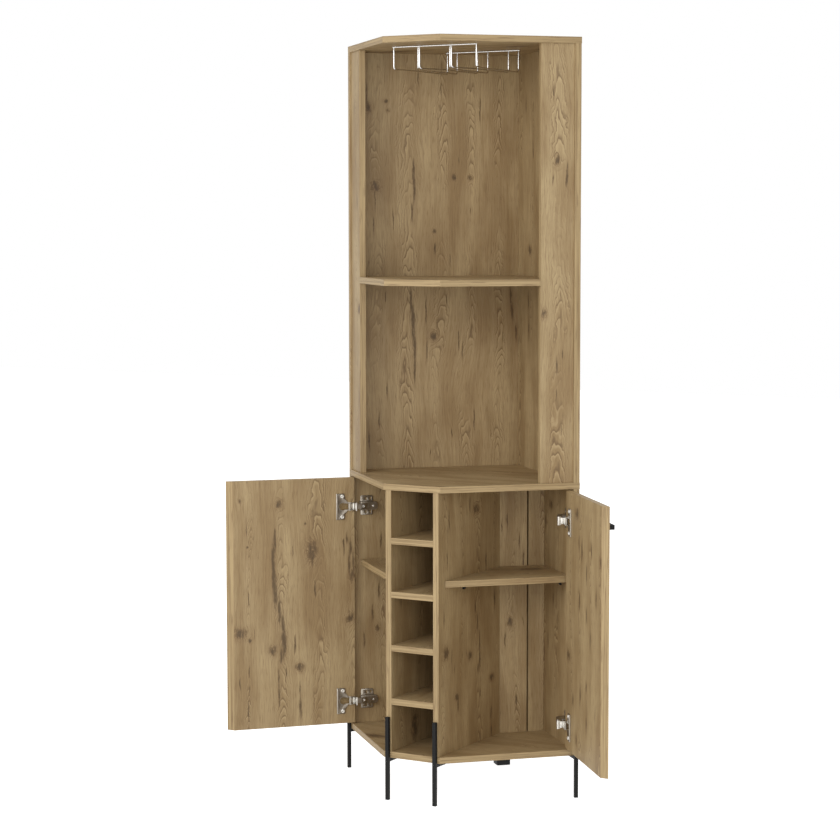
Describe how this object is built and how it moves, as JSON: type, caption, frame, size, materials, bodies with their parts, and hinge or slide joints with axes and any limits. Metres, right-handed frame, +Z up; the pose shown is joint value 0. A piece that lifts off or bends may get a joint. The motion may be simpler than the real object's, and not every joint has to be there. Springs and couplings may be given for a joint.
{
  "type": "corner bar cabinet",
  "caption": "Tall corner bar cabinet: open shelves and a stemware rack above, a bottle rack between two angled compartments with swinging doors below, on slim black legs.",
  "frame": {"origin": "centre of the rear leg's underside, on the floor", "axes": "+Z up, the front faces -Y, +X to the right seen from the front; X = 0 is the carcass's plane of symmetry"},
  "size_m": [1.0407, 0.5731, 1.8],
  "materials": {
    "oak_laminate": "oak-look laminate on board, matt",
    "black_steel": "black powder coat",
    "black_plastic": "black, matt",
    "nickel": "nickel plated",
    "rack_chrome": "bright plated wire"
  },
  "bodies": {
    "cabinet": {"top_panel": "oak_laminate", "worktop": "oak_laminate", "base_panel": "oak_laminate", "upper_shelf": "oak_laminate", "rack_back": "oak_laminate", "rack_shelf_1": "oak_laminate", "rack_shelf_2": "oak_laminate", "rack_shelf_3": "oak_laminate", "rack_shelf_4": "oak_laminate", "upper_side_left": "oak_laminate", "upper_side_right": "oak_laminate", "lower_side_left": "oak_laminate", "lower_side_right": "oak_laminate", "stile_left": "oak_laminate", "stile_right": "oak_laminate", "divider_left": "oak_laminate", "divider_right": "oak_laminate", "back_board_left": "oak_laminate", "back_board_right": "oak_laminate", "back_batten_left": "oak_laminate", "back_batten_right": "oak_laminate", "side_shelf_left": "oak_laminate", "side_shelf_right": "oak_laminate", "support_wall_front_left": "black_plastic", "support_wall_front_right": "black_plastic", "support_wall_rear_left": "black_plastic", "support_wall_rear_right": "black_plastic", "support_divider_front_left": "black_plastic", "support_divider_front_right": "black_plastic", "support_divider_rear_left": "black_plastic", "support_divider_rear_right": "black_plastic", "glide_front_left": "black_plastic", "glide_front_right": "black_plastic", "glide_wing_left": "black_plastic", "glide_wing_right": "black_plastic", "rear_leg": "black_plastic", "leg_front_left": "black_steel", "leg_front_right": "black_steel", "leg_wing_left": "black_steel", "leg_wing_right": "black_steel", "hinge_plate_upper_left": "nickel", "hinge_plate_upper_right": "nickel", "hinge_arm_upper_left": "nickel", "hinge_arm_upper_right": "nickel", "hinge_plate_lower_left": "nickel", "hinge_plate_lower_right": "nickel", "hinge_arm_lower_left": "nickel", "hinge_arm_lower_right": "nickel", "wire_rack": "rack_chrome"},
    "left_door": {"door_left": "oak_laminate", "handle_left": "black_steel", "hinge_flange_upper_left": "nickel", "hinge_flange_lower_left": "nickel"},
    "right_door": {"door_right": "oak_laminate", "handle_right": "black_steel", "hinge_flange_upper_right": "nickel", "hinge_flange_lower_right": "nickel"}
  },
  "joints": [
    {"name": "right_door_hinge", "type": "hinge", "parent": "cabinet", "child": "right_door", "pos_m": [0.30352, -0.22588, 0.42], "axis": [0, 0, 1], "range_deg": [-86, 14]},
    {"name": "left_door_hinge", "type": "hinge", "parent": "cabinet", "child": "left_door", "pos_m": [-0.30352, -0.22588, 0.42], "axis": [0, 0, -1], "range_deg": [-87.6, 12.4]}
  ]
}
